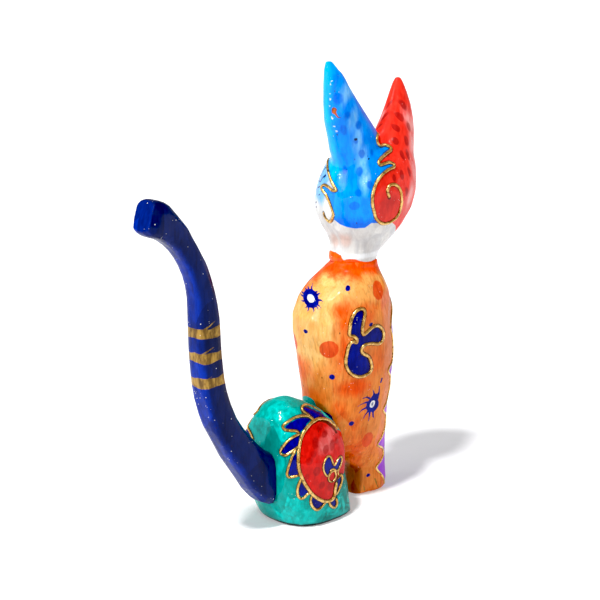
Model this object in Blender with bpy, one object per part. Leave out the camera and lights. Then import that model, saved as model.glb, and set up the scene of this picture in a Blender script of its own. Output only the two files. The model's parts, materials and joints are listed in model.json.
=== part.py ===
"""Painted wooden cat, seated, with its head turned to its left and its tail raised.

Four carved blocks (torso with the front legs, haunch, head with the ears, tail) are pegged
and glued at flat faces. Raised beads of gold paste outline the main painted motifs.
The body points along -X, the face looks along -Y, and +Z is up.
"""
import math

import bmesh
import bpy
from mathutils import Matrix, Vector
from mathutils.bvhtree import BVHTree

for old in list(bpy.data.objects):
    bpy.data.objects.remove(old, do_unlink=True)

MM = 0.001

# ---- driving dimensions, millimetres -------------------------------------------------------
FOOT_TO_CENTRE = 61.7      # from the front foot back to the middle of the whole figure
GLUE_GAP = 0.3             # thickness of the glue line between two pieces
NECK_Z = 128.7             # top of the torso, where the head sits
REAR_FACE_X = 74.2         # flat on the back of the haunch where the tail is glued
SEAT_POINT = (32.8, 42.3)  # x, z of the middle of the torso-to-haunch glue face
SEAT_LEAN = 21.8           # degrees that this glue face leans back from upright

DOWEL_R = 3.0
DOWEL_FIT = 0.25           # radial room for glue round a dowel
DOWEL_END = 0.6            # room for glue past a dowel's end

BEAD_R = 0.9               # half-width of a raised gold line
BEAD_LIFT = 0.35           # from the wood to the underside of a raised line

SECTION_SIDES = 28
TAIL_SIDES = 16

# Torso, from the floor up: z, centre x, half-length along X, half-width along Y.
TORSO = [
    (0.0, -1.5, 8.4, 8.2), (1.4, -1.8, 9.3, 9.1), (5.6, -2.4, 9.3, 9.2), (14.0, -2.4, 8.7, 8.8),
    (22.8, 2.8, 13.1, 10.6), (29.3, 8.6, 18.0, 12.8), (37.8, 12.4, 21.5, 15.2),
    (53.0, 15.4, 24.0, 17.8), (60.0, 14.8, 24.7, 18.5), (72.4, 15.1, 26.4, 19.5),
    (83.6, 16.0, 27.5, 20.1), (94.8, 17.6, 28.0, 20.4), (103.1, 18.2, 27.5, 20.2),
    (112.5, 17.1, 24.8, 18.4), (117.7, 16.0, 21.4, 16.7), (122.4, 13.6, 16.6, 13.9),
    (126.0, 11.6, 13.4, 12.0), (NECK_Z, 11.0, 12.5, 11.5),
]
# Haunch with both thighs and hind feet.
HAUNCH = [
    (0.0, 44.4, 22.2, 20.0), (1.6, 44.6, 23.8, 21.4), (4.5, 45.4, 24.6, 22.0),
    (10.0, 47.4, 25.4, 22.6), (20.5, 50.1, 26.2, 23.0), (34.9, 52.2, 26.9, 22.8),
    (43.2, 54.2, 25.2, 20.8), (50.1, 56.2, 22.0, 18.0), (57.2, 58.2, 16.5, 13.8),
    (62.1, 60.6, 10.0, 9.1), (64.8, 61.0, 4.5, 4.3),
]
# Head: z, centre x, half-width along X, depth to the face (-Y), depth to the nape (+Y).
HEAD = [
    (NECK_Z + GLUE_GAP, 11.0, 12.1, 11.3, 11.3), (131.9, 10.4, 12.7, 11.7, 11.9),
    (134.4, 8.8, 12.9, 11.9, 11.9), (137.6, 6.2, 14.8, 14.0, 13.2), (141.5, 3.8, 17.5, 17.5, 15.0),
    (146.7, 2.3, 21.4, 22.2, 17.5), (153.5, 1.3, 25.2, 25.0, 20.2), (163.9, 0.2, 27.5, 24.4, 21.9),
    (170.0, -0.7, 27.3, 22.6, 21.5), (178.0, -2.0, 25.9, 19.3, 19.4), (183.6, -3.1, 22.6, 15.6, 16.2),
    (187.4, -4.0, 16.3, 11.2, 11.6), (189.6, -4.6, 8.0, 5.6, 6.0),
]
# Ears: z, centre x, half-width along X, half-thickness along Y. Each sits back from the face.
LEFT_EAR_BACK, RIGHT_EAR_BACK = 1.5, 6.5
LEFT_EAR = [
    (168.0, 4.4, 14.0, 11.0), (177.0, 6.4, 16.0, 11.2), (185.8, 9.6, 16.6, 10.6),
    (192.4, 12.2, 15.8, 9.6), (202.4, 17.9, 13.6, 7.6), (212.2, 22.6, 10.2, 5.8),
    (221.1, 26.4, 6.9, 4.2), (227.6, 29.0, 4.2, 2.8), (232.1, 30.8, 1.6, 1.3),
]
RIGHT_EAR = [
    (168.0, -8.6, 13.6, 10.6), (176.2, -9.5, 14.0, 10.8), (186.5, -11.0, 12.9, 9.6),
    (193.7, -12.7, 11.7, 8.5), (200.4, -14.4, 9.7, 7.0), (207.1, -15.2, 7.5, 5.5),
    (213.2, -15.2, 5.1, 4.0), (218.3, -15.0, 2.9, 2.4), (221.2, -14.9, 1.3, 1.1),
]
# Tail path: x, z, half-depth across the path, half-width along Y.
TAIL = [
    (REAR_FACE_X - 3.0, 25.0, 13.5, 8.7), (76.7, 27.6, 12.7, 8.5), (84.4, 35.8, 9.6, 8.0),
    (94.1, 47.3, 8.2, 7.6), (104.0, 62.0, 7.4, 7.0), (110.3, 79.0, 7.0, 6.8), (112.3, 91.5, 6.9, 6.7),
    (113.4, 104.2, 6.8, 6.6), (113.8, 117.0, 6.6, 6.4), (115.2, 129.3, 5.8, 5.9),
    (118.6, 141.0, 5.4, 5.6), (124.0, 151.4, 5.4, 5.6), (130.4, 160.0, 6.3, 6.1),
    (136.8, 166.2, 7.6, 6.8), (142.6, 169.6, 8.6, 7.5), (146.9, 171.2, 8.1, 7.1), (149.2, 172.0, 6.3, 5.9),
]

# Motifs in gold bead, each seen square from a quarter behind the figure: across, up.
MOTIF_AZIMUTH = {"right": 135.0, "left": 45.0}    # 90 faces +X and 180 faces +Y
THIGH_RING = dict(centre=(-25.5, 34.4), half=(10.4, 20.4), start=58.0, sweep=258.0)
FLANK_SCROLL = [
    (-6.5, 94.7), (-10.1, 96.3), (-9.7, 101.5), (-7.1, 106.6), (-4.0, 107.9), (-1.9, 106.0),
    (-2.9, 100.2), (-3.2, 96.4), (0.9, 97.1), (4.1, 97.7), (7.4, 94.5), (8.5, 91.4), (7.2, 88.4),
    (3.1, 88.9), (-1.2, 89.8), (-3.6, 87.8), (-2.9, 85.6), (0.0, 83.9), (1.7, 79.0), (2.3, 74.3),
    (0.1, 72.3), (-4.1, 71.7), (-8.8, 74.3), (-11.5, 78.5), (-11.5, 85.2), (-9.8, 91.0),
]
CREST = [
    (4.5, 190.6), (4.3, 188.6), (9.6, 188.6), (10.2, 186.8), (5.2, 181.4), (6.4, 179.6),
    (11.8, 180.2), (12.2, 178.2), (6.8, 173.8), (3.2, 168.3), (1.5, 160.8), (2.1, 155.5),
    (4.6, 151.6), (7.9, 150.3), (12.5, 151.7), (15.6, 156.0), (16.4, 162.4), (15.3, 167.2),
    (12.5, 169.7), (9.6, 168.2),
]
SQUARENESS = 2.5           # 2 is an ellipse; higher is squarer, as a knife leaves it
TAIL_SQUARENESS = 3.4


# ---- making solids -------------------------------------------------------------------------
def material(name, colour, roughness=0.35, metallic=0.0):
    mat = bpy.data.materials.new(name)
    mat.use_nodes = True
    shader = mat.node_tree.nodes["Principled BSDF"]
    shader.inputs["Base Color"].default_value = (*colour, 1.0)
    shader.inputs["Roughness"].default_value = roughness
    shader.inputs["Metallic"].default_value = metallic
    mat.diffuse_color = (*colour, 1.0)
    return mat


def finish(name, bm, colour, metallic=0.0, smooth_angle=40.0):
    """Turn a bmesh in millimetres into a named, coloured, smooth-shaded object in metres."""
    bmesh.ops.recalc_face_normals(bm, faces=bm.faces)
    if bm.calc_volume(signed=True) < 0:
        bmesh.ops.reverse_faces(bm, faces=bm.faces)
    mesh = bpy.data.meshes.new(name)
    bm.to_mesh(mesh)
    bm.free()
    shift = Matrix.Translation((-FOOT_TO_CENTRE, 0.0, 0.0))
    mesh.transform(Matrix.Scale(MM, 4) @ shift)
    mesh.materials.append(material(name, colour, metallic=metallic))
    mesh.shade_smooth()
    mesh.set_sharp_from_angle(angle=math.radians(smooth_angle))
    obj = bpy.data.objects.new(name, mesh)
    bpy.context.scene.collection.objects.link(obj)
    return obj


def spline(rows, per_span):
    """Catmull-Rom through rows of numbers, with per_span steps between neighbours."""
    out = []
    for i in range(len(rows) - 1):
        p0, p1 = rows[max(i - 1, 0)], rows[i]
        p2, p3 = rows[i + 1], rows[min(i + 2, len(rows) - 1)]
        for step in range(per_span):
            t = step / per_span
            out.append(tuple(
                0.5 * (2 * b + (c - a) * t + (2 * a - 5 * b + 4 * c - d) * t * t
                       + (3 * b - a - 3 * c + d) * t ** 3)
                for a, b, c, d in zip(p0, p1, p2, p3)))
    out.append(tuple(rows[-1]))
    return out


def skin(bm, rings):
    """Join rings of points into one closed skin with flat ends."""
    loops = [[bm.verts.new(p) for p in ring] for ring in rings]
    for low, high in zip(loops, loops[1:]):
        for i in range(len(low)):
            j = (i + 1) % len(low)
            bm.faces.new((low[i], low[j], high[j], high[i]))
    for cap in (loops[0], loops[-1]):
        middle = bm.verts.new(sum((v.co for v in cap), Vector()) / len(cap))
        for i in range(len(cap)):
            bm.faces.new((cap[i], cap[(i + 1) % len(cap)], middle))


def ring(centre, across, along, a, b_minus, b_plus, sides, power=SQUARENESS):
    """A squarish ring: a each way on across, b_minus and b_plus each way on along."""
    points = []
    for i in range(sides):
        angle = 2 * math.pi * (i + 0.5) / sides
        c, s = math.cos(angle), math.sin(angle)
        u = math.copysign(abs(c) ** (2 / power), c) * a
        v = math.copysign(abs(s) ** (2 / power), s) * (b_plus if s > 0 else b_minus)
        points.append(centre + across * u + along * v)
    return points


X, Y, Z = Vector((1, 0, 0)), Vector((0, 1, 0)), Vector((0, 0, 1))


def carved(name, rows, colour, sides=SECTION_SIDES, power=SQUARENESS, per_span=1, y_shift=0.0):
    """A block carved in level sections: z, centre x, half-x, then one or two half-y."""
    bm = bmesh.new()
    rings = []
    for row in spline(rows, per_span):
        z, x, a, b_minus, b_plus = row if len(row) == 5 else (*row, row[3])
        rings.append(ring(Vector((x, y_shift, z)), X, Y, a, b_minus, b_plus, sides, power))
    skin(bm, rings)
    return finish(name, bm, colour)


def rod(name, start, end, radius, colour=(0.62, 0.45, 0.28), sides=20, bevel=0.5):
    """A round dowel between two points, with small chamfers on its ends."""
    axis = (end - start).normalized()
    side = axis.orthogonal().normalized()
    other = axis.cross(side)
    length = (end - start).length
    rings = []
    for d, r in ((0, radius - bevel), (bevel, radius), (length - bevel, radius), (length, radius - bevel)):
        centre = start + axis * d
        rings.append([centre + (side * math.cos(t) + other * math.sin(t)) * r
                      for t in (2 * math.pi * k / sides for k in range(sides))])
    bm = bmesh.new()
    skin(bm, rings)
    return finish(name, bm, colour)


def cutter(obj):
    obj.hide_render = True
    obj.display_type = "WIRE"
    return obj


def slab(name, point, normal, reach=120.0):
    """A big block whose one face is the plane through point; the block lies on normal's side."""
    bm = bmesh.new()
    bmesh.ops.create_cube(bm, size=reach)
    turn = normal.to_track_quat("Z", "Y").to_matrix().to_4x4()
    bm.transform(Matrix.Translation(point + normal * reach / 2) @ turn)
    return cutter(finish(name, bm, (0.5, 0.5, 0.5)))


def carve(target, tool, operation="DIFFERENCE"):
    mod = target.modifiers.new(tool.name, "BOOLEAN")
    mod.operation = operation
    mod.solver = "EXACT"
    mod.object = tool


def pegged(name, point, axis, back, ahead, pieces, radius=DOWEL_R):
    """A dowel across a glue face, and the blind hole it needs in each piece it joins."""
    dowel = rod(name, point - axis * back, point + axis * ahead, radius)
    for side, (piece, reach) in zip((-1, 1), zip(pieces, (back, ahead))):
        hole = rod(f"{name}_hole_{piece.name}", point - axis * side * 6.0,
                   point + axis * side * (reach + DOWEL_END), radius + DOWEL_FIT, bevel=0.01)
        carve(piece, cutter(hole))
    return dowel


# ---- the carved pieces ---------------------------------------------------------------------
torso = carved("torso", TORSO, (0.90, 0.42, 0.10))
haunch = carved("haunch", HAUNCH, (0.02, 0.52, 0.46), power=2.6)
head = carved("head", HEAD, (0.05, 0.35, 0.85), sides=32, power=2.2)
left_ear = cutter(carved("left_ear_block", LEFT_EAR, (0.05, 0.35, 0.85), sides=24, power=2.1,
                         y_shift=LEFT_EAR_BACK))
right_ear = cutter(carved("right_ear_block", RIGHT_EAR, (0.75, 0.06, 0.05), sides=24, power=2.1,
                          y_shift=RIGHT_EAR_BACK))
carve(head, left_ear, "UNION")
carve(head, right_ear, "UNION")


def make_tail():
    """The tail follows its path; its first ring is square to the haunch's flat."""
    rows = spline(TAIL, 2)
    rings = []
    for i, (x, z, depth, width) in enumerate(rows):
        ahead, behind = rows[min(i + 1, len(rows) - 1)], rows[max(i - 1, 0)]
        tangent = Vector((ahead[0] - behind[0], 0, ahead[1] - behind[1])).normalized()
        if i < 4:
            tangent = X.lerp(tangent, i / 4).normalized()
        across = Y.cross(tangent).normalized()
        rings.append(ring(Vector((x, 0, z)), across, Y, depth, width, width, TAIL_SIDES, TAIL_SQUARENESS))
    bm = bmesh.new()
    skin(bm, rings)
    return finish("tail", bm, (0.01, 0.03, 0.30))


tail = make_tail()

# Flat glue faces.
seat = Vector((SEAT_POINT[0], 0, SEAT_POINT[1]))
seat_normal = Vector((math.cos(math.radians(SEAT_LEAN)), 0, -math.sin(math.radians(SEAT_LEAN))))
carve(torso, slab("seat_cut_torso", seat - seat_normal * GLUE_GAP / 2, seat_normal))
carve(haunch, slab("seat_cut_haunch", seat + seat_normal * GLUE_GAP / 2, -seat_normal))
carve(haunch, slab("rear_cut", Vector((REAR_FACE_X, 0, 25.0)), X))
carve(tail, slab("root_cut", Vector((REAR_FACE_X + GLUE_GAP, 0, 25.0)), -X))

# Dowels hidden in the glue joints.
neck_joint = Vector((11.0, 0, NECK_Z + GLUE_GAP / 2))
pegged("neck_dowel", neck_joint, Z, 13.0, 13.0, (torso, head), radius=4.0)
for label, side in (("left", -1), ("right", 1)):
    pegged(f"{label}_seat_dowel", seat + Y * side * 6.5, seat_normal, 12.0, 14.0, (torso, haunch))
pegged("tail_dowel", Vector((REAR_FACE_X + GLUE_GAP / 2, 0, 25.0)), X, 13.0, 7.0, (haunch, tail), radius=3.5)


# ---- raised gold lines ---------------------------------------------------------------------
def surface_of(obj):
    """The finished surface of a carved piece, in millimetres and in this script's own frame."""
    graph = bpy.context.evaluated_depsgraph_get()
    bm = bmesh.new()
    bm.from_object(obj, graph)
    bm.transform(Matrix.Translation((FOOT_TO_CENTRE, 0, 0)) @ Matrix.Scale(1 / MM, 4))
    tree = BVHTree.FromBMesh(bm)
    bm.free()
    return tree


def bead(name, tree, points, facing, colour=(0.45, 0.30, 0.08)):
    """One raised line laid on a surface; points are across and up in the plane it faces."""
    across = Z.cross(facing).normalized()
    on_surface = []
    for u, v in points:
        start = across * u + Z * v + facing * 90.0
        place, normal, _, _ = tree.ray_cast(start, -facing)
        if place is not None:
            on_surface.append((place, normal))
    rings = []
    for i, (place, normal) in enumerate(on_surface):
        nearby = on_surface[max(i - 1, 0):i + 2]
        normal = sum((n for _, n in nearby), Vector()).normalized()
        run = nearby[-1][0] - nearby[0][0]
        side = normal.cross(run).normalized()
        centre = place + normal * (BEAD_R + BEAD_LIFT)
        rings.append([centre + (side * math.cos(t) + normal * math.sin(t)) * BEAD_R
                      for t in (2 * math.pi * k / 6 for k in range(6))])
    bm = bmesh.new()
    skin(bm, rings)
    return finish(name, bm, colour, metallic=0.8)


bpy.context.view_layer.update()
haunch_tree, torso_tree, head_tree = surface_of(haunch), surface_of(torso), surface_of(head)
ring_points = []
for k in range(29):
    angle = math.radians(THIGH_RING["start"] + THIGH_RING["sweep"] * k / 28)
    ring_points.append((THIGH_RING["centre"][0] + THIGH_RING["half"][0] * math.cos(angle),
                        THIGH_RING["centre"][1] + THIGH_RING["half"][1] * math.sin(angle)))
scroll_points = spline(FLANK_SCROLL, 2)
for label, mirror in (("right", 1), ("left", -1)):
    azimuth = math.radians(MOTIF_AZIMUTH[label])
    facing = Vector((math.sin(azimuth), -math.cos(azimuth), 0))
    bead(f"{label}_thigh_bead", haunch_tree, [(mirror * u, v) for u, v in ring_points], facing)
    bead(f"{label}_flank_bead", torso_tree, [(mirror * u, v) for u, v in scroll_points], facing)
    if label == "right":
        bead("crest_bead", head_tree, spline(CREST, 2), facing)
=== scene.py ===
"""Looks of the painted wooden cat: carved surfaces, hand-painted motifs, raised gold lines.

Each wooden block is a fine copy of its CAD solid. Motifs are drawn on it in one of three flat
charts, in millimetres: a flank seen square from behind and beside the cat (across, up from the
front foot), the head unrolled round its axis, and the chest unrolled round the torso's middle.
Each point of the mesh keeps its distance to the motifs, and the paint materials turn distances
into edges.
"""
import json
import math

import bmesh
import bpy
import numpy as np
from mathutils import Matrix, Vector, noise
from mathutils.bvhtree import BVHTree


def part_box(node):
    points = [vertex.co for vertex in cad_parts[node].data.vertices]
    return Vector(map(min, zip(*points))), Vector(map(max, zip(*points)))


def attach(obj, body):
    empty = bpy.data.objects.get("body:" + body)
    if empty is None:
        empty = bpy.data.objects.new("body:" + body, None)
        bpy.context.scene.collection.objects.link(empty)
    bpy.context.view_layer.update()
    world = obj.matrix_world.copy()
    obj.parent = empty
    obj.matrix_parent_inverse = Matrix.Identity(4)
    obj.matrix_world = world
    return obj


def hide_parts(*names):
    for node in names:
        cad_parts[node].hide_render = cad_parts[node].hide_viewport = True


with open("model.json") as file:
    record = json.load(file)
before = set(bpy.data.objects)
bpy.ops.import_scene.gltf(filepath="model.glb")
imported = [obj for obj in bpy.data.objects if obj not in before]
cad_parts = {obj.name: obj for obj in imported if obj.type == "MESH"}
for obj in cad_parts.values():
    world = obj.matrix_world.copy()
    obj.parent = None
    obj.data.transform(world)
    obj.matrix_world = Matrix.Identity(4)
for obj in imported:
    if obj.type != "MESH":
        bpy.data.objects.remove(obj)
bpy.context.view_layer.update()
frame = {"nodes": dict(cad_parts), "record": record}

MM = 0.001

# ---- where things are ----
FOOT = Vector(next(m["pos_m"] for m in frame["record"]["mounts"] if m["name"] == "front_foot_rest"))
NECK_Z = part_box("head")[0].z / MM
HEAD_AXIS = Vector((FOOT.x + 1.5 * MM, -1.0 * MM, 0.0))
HEAD_RADIUS = 24.0
HEAD_ARC = math.radians(HEAD_RADIUS)     # millimetres of head surface per degree round its axis
CHEST_ARC = 0.30                         # the same for the chest, round the torso's own middle

# ---- sizes, millimetres ----
VOXEL = 0.62               # grain of the carved meshes
SWELL = 0.22               # thickness of gesso, paint and varnish on the wood
BEAD_HALF = 0.86           # half-width of a raised gold line
BEAD_RISE = 0.78           # how far it stands up
BEAD_STEP = 0.55           # spacing of its rings
FAR = 9.0                  # a painted distance that means "nowhere near"
SPRAY_START = 0.22         # the sprayed weight from which a colour shows

# Towards the decorated quarter of each side: 1 is the cat's right, -1 its left.
FACING = {side: Vector((1, side, 0)).normalized() for side in (1, -1)}
UP = Vector((0, 0, 1))


def srgb(r, g, b):
    """Linear colour from 0-255 display values."""
    def lin(c):
        c /= 255.0
        return c / 12.92 if c <= 0.04045 else ((c + 0.055) / 1.055) ** 2.4
    return (lin(r), lin(g), lin(b), 1.0)


def add(name, data):
    obj = bpy.data.objects.new(name, data)
    bpy.context.scene.collection.objects.link(obj)
    return obj


def between(x, start, end):
    """0 up to start, 1 from end on, and a straight run in between; end may be the lower one."""
    return np.clip((x - start) / (end - start), 0, 1)


def at(items, i, closed):
    """Item i; past an end a closed run goes round, and an open one stays at its last item."""
    return items[i % len(items) if closed else min(max(i, 0), len(items) - 1)]


def outward(azimuth, elevation):
    """The direction away from the object at these angles round it and above the floor."""
    a, e = math.radians(azimuth), math.radians(elevation)
    return Vector((math.sin(a) * math.cos(e), -math.cos(a) * math.cos(e), math.sin(e)))


def face_from(obj, out):
    """Turn a light or camera to look back from this direction."""
    obj.rotation_euler = out.to_track_quat("Z", "Y").to_euler()


# ---- flat shapes: signed distances in millimetres, negative inside ----
def spline(points, step=0.8, closed=False):
    """Even points along a Catmull-Rom curve through the given ones."""
    pts = np.array(points, float)
    out = []
    for i in range(len(pts) if closed else len(pts) - 1):
        p0, p1, p2, p3 = (at(pts, i + k, closed) for k in (-1, 0, 1, 2))
        count = max(2, int(np.linalg.norm(p2 - p1) / step))
        for t in np.arange(count) / count:
            out.append(0.5 * (2 * p1 + (p2 - p0) * t + (2 * p0 - 5 * p1 + 4 * p2 - p3) * t * t
                              + (3 * p1 - p0 - 3 * p2 + p3) * t ** 3))
    if not closed:
        out.append(pts[-1])
    return np.array(out)


def to_segment(p, a, b):
    """How far along the segment each point's nearest place is, from 0 to 1, and how far away."""
    ab = b - a
    t = np.clip(((p - a) @ ab) / max(ab @ ab, 1e-9), 0, 1)
    return t, np.linalg.norm(p - a - t[:, None] * ab, axis=1)


def sd_line(p, path, radius, end_radius=None):
    """Distance to an open path, minus a radius that runs from radius to end_radius."""
    path = np.array(path, float)
    best = np.full(len(p), FAR)
    steps = len(path) - 1
    for i in range(steps):
        t, away = to_segment(p, path[i], path[i + 1])
        r = radius if end_radius is None else radius + (end_radius - radius) * (i + t) / steps
        best = np.minimum(best, away - r)
    return best


def sd_shape(p, outline):
    """Signed distance to a closed outline."""
    q = np.array(outline, float)
    dist = np.full(len(p), 1e9)
    inside = np.zeros(len(p), bool)
    for i in range(len(q)):
        a, b = q[i - 1], q[i]
        dist = np.minimum(dist, to_segment(p, a, b)[1])
        run, rise = b - a
        crosses = (a[1] > p[:, 1]) != (b[1] > p[:, 1])
        inside ^= crosses & (p[:, 0] < a[0] + (p[:, 1] - a[1]) * run / (rise or 1e-9))
    return np.where(inside, -dist, dist)


def sd_oval(p, centre, half, tilt=0.0):
    """Distance to a tilted oval, true enough near its edge."""
    c, s = math.cos(math.radians(tilt)), math.sin(math.radians(tilt))
    d = p - np.array(centre, float)
    d = np.stack([d[:, 0] * c + d[:, 1] * s, -d[:, 0] * s + d[:, 1] * c], 1)
    k = np.linalg.norm(d / np.array(half, float), axis=1)
    return (k - 1) * min(half)


def union(*fields):
    return np.minimum.reduce(fields)


def ovals(p, table, arc=1.0, tilt=0.0):
    """Distance to the ovals of a table: across, up and two half-sizes each."""
    return union(*(sd_oval(p, (u * arc, v), half, tilt) for u, v, *half in table))


def blob(p, centre, spread):
    """A soft spray of colour, 1 in the middle."""
    d = (p - np.array(centre, float)) / np.array(spread, float)
    return np.exp(-(d ** 2).sum(1))


# ---- carved pieces ----
class Carving:
    """A dense, gently uneven copy of a CAD solid, with distances to painted shapes at each point."""

    def __init__(self, node, relax=8):
        self.node = node
        obj = add(node + "_carving", frame["nodes"][node].data.copy())
        remesh = obj.modifiers.new("grain", "REMESH")
        remesh.mode, remesh.voxel_size, remesh.use_smooth_shade = "VOXEL", VOXEL * MM, True
        smooth = obj.modifiers.new("worn", "SMOOTH")
        smooth.factor, smooth.iterations = 0.5, relax
        graph = bpy.context.evaluated_depsgraph_get()
        mesh = bpy.data.meshes.new_from_object(obj.evaluated_get(graph))
        obj.modifiers.clear()
        obj.data = mesh
        mesh.shade_smooth()
        mesh.materials.clear()
        self.obj, self.mesh = obj, mesh
        self.read()

    def read(self):
        n = len(self.mesh.vertices)
        co, no = np.empty(n * 3, np.float32), np.empty(n * 3, np.float32)
        self.mesh.vertices.foreach_get("co", co)
        self.mesh.vertex_normals.foreach_get("vector", no)
        self.co = co.reshape(-1, 3).astype(float)
        self.no = no.reshape(-1, 3).astype(float)

    def write(self):
        self.mesh.vertices.foreach_set("co", self.co.astype(np.float32).ravel())
        self.mesh.update()
        self.read()

    def uneven(self, amount=0.16):
        """Swell by the paint's thickness, with the soft dips a knife and sandpaper leave."""
        lift = np.empty(len(self.co))
        for i, p in enumerate(self.co):
            q = Vector(p) * 70.0
            lift[i] = noise.noise(q) * amount + noise.noise(q * 3.1) * amount * 0.35
        self.co += self.no * ((SWELL + lift) * MM)[:, None]
        self.co[:, 2] = np.maximum(self.co[:, 2], 0.0)
        self.write()

    def facets(self, count, depth, reach, seed):
        """Shallow flat cuts of a knife: points proud of each cutting plane are pressed onto it."""
        rng = np.random.default_rng(seed)
        for i in rng.integers(0, len(self.co), count):
            place, normal = self.co[i].copy(), self.no[i]
            if normal[2] < -0.7:
                continue
            offset = self.co - place
            proud = offset @ normal + depth * MM * rng.uniform(0.5, 1.1)
            away = np.linalg.norm(offset, axis=1)
            cut = (proud > 0) & (away < reach * MM)
            if (cut & (away > 0.85 * reach * MM)).any():
                continue
            self.co[cut] -= normal * proud[cut, None]
        self.write()

    def melt(self, weight, rounds):
        """Blend a crease: each point drifts to the middle of its neighbours, by weight."""
        edges = np.empty(len(self.mesh.edges) * 2, np.int32)
        self.mesh.edges.foreach_get("vertices", edges)
        a, b = edges.reshape(-1, 2).T
        size = len(self.co)
        degree = np.bincount(a, minlength=size) + np.bincount(b, minlength=size)
        for _ in range(rounds):
            for axis in range(3):
                x = self.co[:, axis]
                middle = (np.bincount(a, x[b], size) + np.bincount(b, x[a], size)) / degree
                self.co[:, axis] = x + (middle - x) * weight * 0.6
        self.write()

    def from_foot(self):
        return (self.co - np.array(FOOT)) / MM

    def flank(self, side):
        """Across and up, seen square from the decorated quarter of one side; and what faces it."""
        d = self.from_foot()
        s = (-d[:, 0] + side * d[:, 1]) / math.sqrt(2)
        return np.stack([s, d[:, 2]], 1), self.no @ np.array(FACING[side]) > -0.12

    def around_head(self, first):
        """Arc length round the head's axis from the face, counted from first degrees, and height."""
        d = (self.co - np.array(HEAD_AXIS)) / MM
        angle = (np.degrees(np.arctan2(d[:, 0], -d[:, 1])) - first) % 360 + first
        return np.stack([angle * HEAD_ARC, d[:, 2]], 1)

    def speckle(self, scale):
        return np.array([noise.noise(Vector(place) * scale) for place in self.co])

    def note(self, **fields):
        """Keep one number per point and field for the paint material to read."""
        for name, values in fields.items():
            layer = self.mesh.attributes.new(name, "FLOAT", "POINT")
            layer.data.foreach_set("value", np.clip(values, -FAR, FAR).astype(np.float32))

    def tree(self):
        bm = bmesh.new()
        bm.from_mesh(self.mesh)
        tree = BVHTree.FromBMesh(bm)
        bm.free()
        return tree


# ---- materials ----
class Nodes:
    """Short names for wiring a material."""

    def __init__(self, name):
        self.mat = bpy.data.materials.new(name)
        self.mat.use_nodes = True
        self.tree = self.mat.node_tree
        self.shader = self.tree.nodes["Principled BSDF"]
        self.coords = self.tree.nodes.new("ShaderNodeTexCoord").outputs["Object"]

    def link(self, out, socket):
        self.tree.links.new(out, socket)

    def put(self, value, socket):
        if isinstance(value, bpy.types.NodeSocket):
            self.link(value, socket)
        else:
            socket.default_value = value

    def set(self, **values):
        """Numbers or outputs for the shader's own inputs; an underscore stands for a space."""
        for name, value in values.items():
            self.put(value, self.shader.inputs[name.replace("_", " ")])

    def math(self, operation, a, b):
        node = self.tree.nodes.new("ShaderNodeMath")
        node.operation = operation
        self.put(a, node.inputs[0])
        self.put(b, node.inputs[1])
        return node.outputs[0]

    def times(self, a, b):
        return self.math("MULTIPLY", a, b)

    def plus(self, a, b):
        return self.math("ADD", a, b)

    def ramp(self, value, low, high, out_low=0.0, out_high=1.0, smooth=False):
        node = self.tree.nodes.new("ShaderNodeMapRange")
        if smooth:
            node.interpolation_type = "SMOOTHSTEP"
        self.put(value, node.inputs[0])
        for number, socket in zip((low, high, out_low, out_high), node.inputs[1:5]):
            socket.default_value = number
        return node.outputs[0]

    def mix(self, factor, a, b, blend="MIX"):
        node = self.tree.nodes.new("ShaderNodeMix")
        node.data_type, node.blend_type = "RGBA", blend
        self.put(factor, node.inputs[0])
        self.put(a, node.inputs[6])
        self.put(b, node.inputs[7])
        return node.outputs[2]

    def noise(self, scale, detail=3.0, rough=0.5, stretch=None, distortion=0.0):
        node = self.tree.nodes.new("ShaderNodeTexNoise")
        values = dict(Scale=scale, Detail=detail, Roughness=rough, Distortion=distortion)
        for name, value in values.items():
            node.inputs[name].default_value = value
        return self.placed(node, stretch).outputs[0]

    def cells(self, scale, stretch=None):
        node = self.tree.nodes.new("ShaderNodeTexVoronoi")
        node.inputs["Scale"].default_value = scale
        return self.placed(node, stretch)

    def placed(self, node, stretch):
        """Lay a texture over the object, drawn out where the stretch is below 1."""
        place = self.coords
        if stretch:
            mapping = self.tree.nodes.new("ShaderNodeMapping")
            mapping.inputs["Scale"].default_value = stretch
            self.link(place, mapping.inputs[0])
            place = mapping.outputs[0]
        self.link(place, node.inputs[0])
        return node

    def attribute(self, name):
        node = self.tree.nodes.new("ShaderNodeAttribute")
        node.attribute_name = name
        return node.outputs["Fac"]

    def bump(self, height, strength, distance, under=None):
        node = self.tree.nodes.new("ShaderNodeBump")
        node.inputs["Strength"].default_value = strength
        node.inputs["Distance"].default_value = distance
        self.link(height, node.inputs["Height"])
        if under is not None:
            self.link(under, node.inputs["Normal"])
        return node.outputs[0]


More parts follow.
